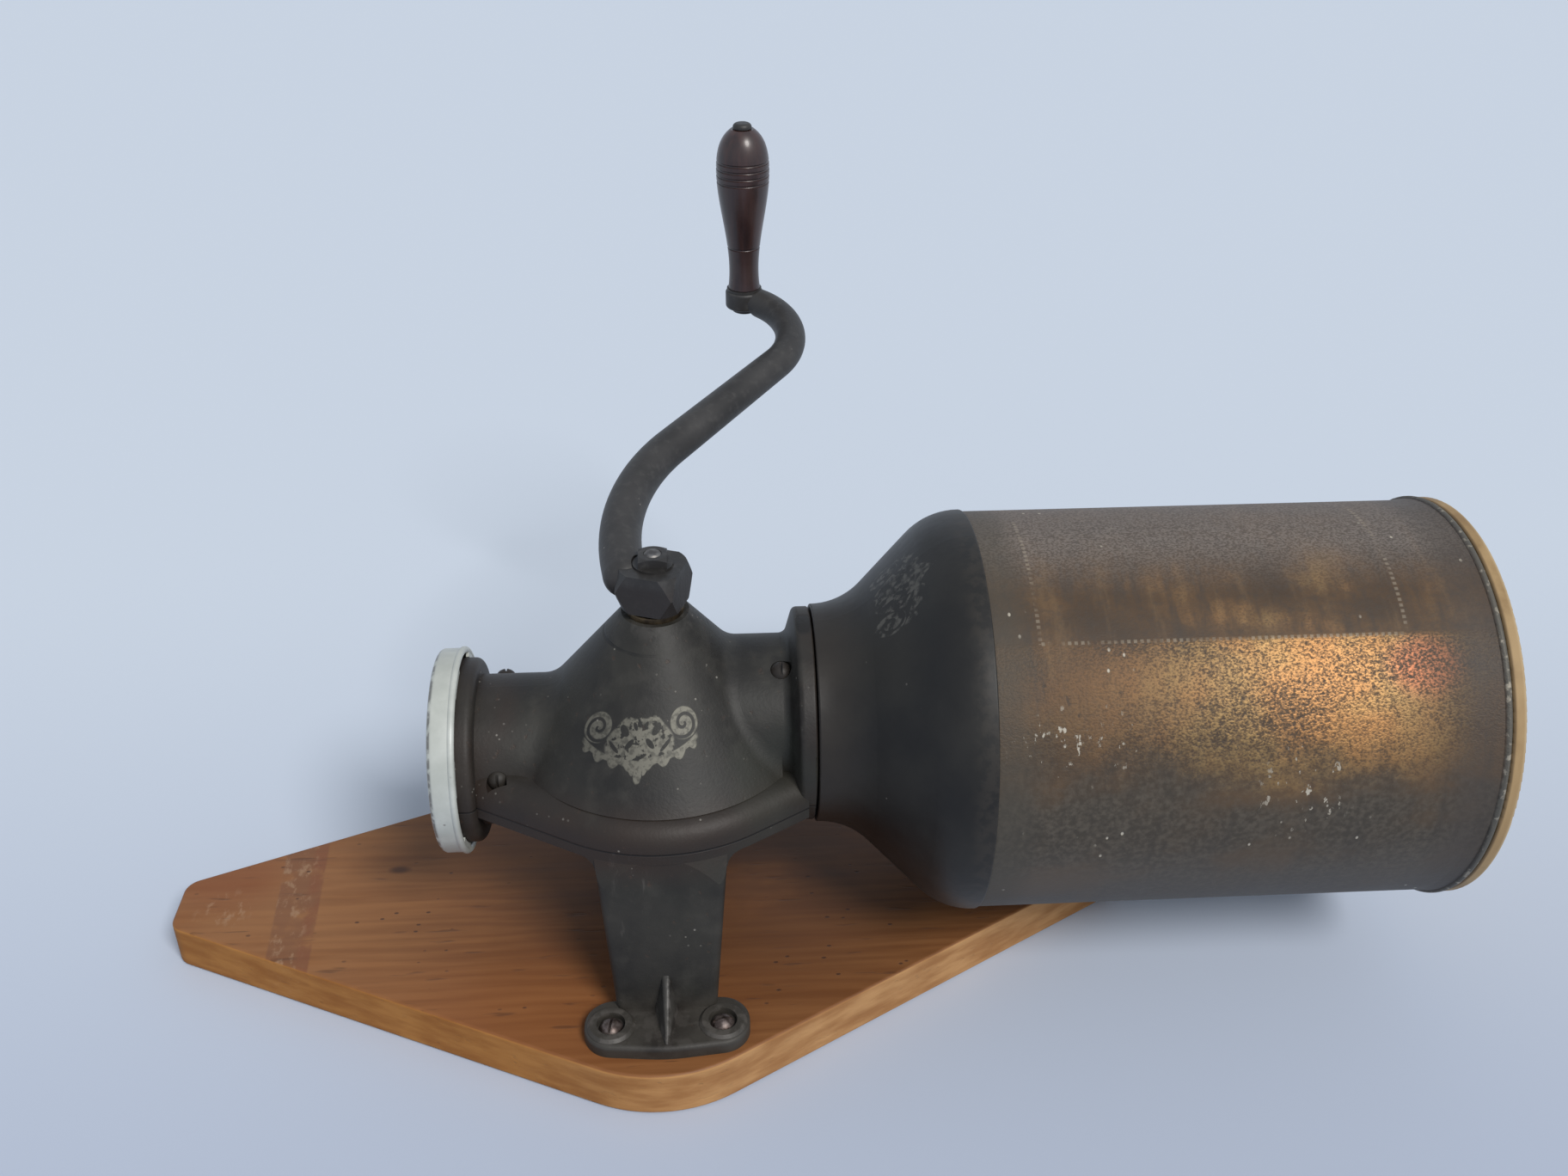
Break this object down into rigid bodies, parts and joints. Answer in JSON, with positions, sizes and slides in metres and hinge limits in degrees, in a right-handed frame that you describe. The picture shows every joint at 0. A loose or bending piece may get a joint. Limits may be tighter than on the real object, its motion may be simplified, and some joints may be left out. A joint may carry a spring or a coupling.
{
  "type": "hand crank coffee grinder",
  "caption": "Wall-board coffee grinder with a cast two-part mill housing, sideways bean canister, closed outlet, adjustable conical burr and an S-shaped hand crank.",
  "frame": {"origin": "on the flat back of the wooden board, on the spindle's axis", "axes": "+Z leads out of the board along the spindle, towards the crank; +X leads to the bean canister and -X to the outlet; the board lies on its back as pictured"},
  "size_m": [0.4604, 0.2556, 0.2661],
  "materials": {
    "board_wood": "worn varnish",
    "casting": "black japan, satin",
    "crank_iron": "worn black japan",
    "japanned_tin": "worn black and bronze japan",
    "cap_enamel": "gloss enamel",
    "liner_rubber": "matte",
    "lid_wood": "bare",
    "handle_wood": "dark polish",
    "screw_steel": "tarnished",
    "dark_steel": "darkened",
    "burr_iron": "bare",
    "bush_brass": "dull"
  },
  "bodies": {
    "mill_body": {"backboard": "board_wood", "rear_housing": "casting", "front_housing": "casting", "housing_screws": "screw_steel", "foot_screws": "screw_steel", "outlet_collar": "casting", "collar_screws": "screw_steel", "hopper_funnel": "japanned_tin", "hopper_screws": "screw_steel", "canister": "japanned_tin", "grinding_ring": "burr_iron", "front_bush": "bush_brass", "rear_bush": "bush_brass", "lock_nut": "dark_steel"},
    "thrust_bearing": {"thrust_ball": "dark_steel"},
    "adjuster": {"thrust_screw": "dark_steel"},
    "crank": {"spindle": "dark_steel", "drive_pin": "dark_steel", "grinding_cone": "burr_iron", "feed_worm": "burr_iron", "crank_arm": "crank_iron", "crank_nut": "dark_steel", "handle_pin": "dark_steel", "handle_washer": "dark_steel"},
    "handle": {"wood_handle": "handle_wood"},
    "lid": {"canister_lid": "lid_wood", "lid_plug": "lid_wood"},
    "cap": {"outlet_cap": "cap_enamel", "cap_liner": "liner_rubber"}
  },
  "joints": [
    {"name": "grind_adjust", "type": "slide", "parent": "mill_body", "child": "thrust_bearing", "axis": [0, 0, 1], "range_m": [-0.0006, 0.0006]},
    {"name": "adjuster_turn", "type": "hinge", "parent": "thrust_bearing", "child": "adjuster", "pos_m": [0, 0, 0.04], "axis": [0, 0, 1], "range_deg": [-172, 172]},
    {"name": "crank_turn", "type": "hinge", "parent": "thrust_bearing", "child": "crank", "pos_m": [0, 0, 0.1], "axis": [0, 0, 1], "continuous": true},
    {"name": "handle_spin", "type": "hinge", "parent": "crank", "child": "handle", "pos_m": [0.0361, 0.1557, 0.23], "axis": [0, 0, 1], "continuous": true},
    {"name": "lid_lift", "type": "slide", "parent": "mill_body", "child": "lid", "axis": [1, 0, 0], "range_m": [0, 0.09]},
    {"name": "cap_pull", "type": "slide", "parent": "mill_body", "child": "cap", "axis": [-1, 0, 0], "range_m": [0, 0.05]}
  ],
  "couplings": [
    {"joint": "adjuster_turn", "follows": "grind_adjust", "rad_per_m": 5000}
  ]
}
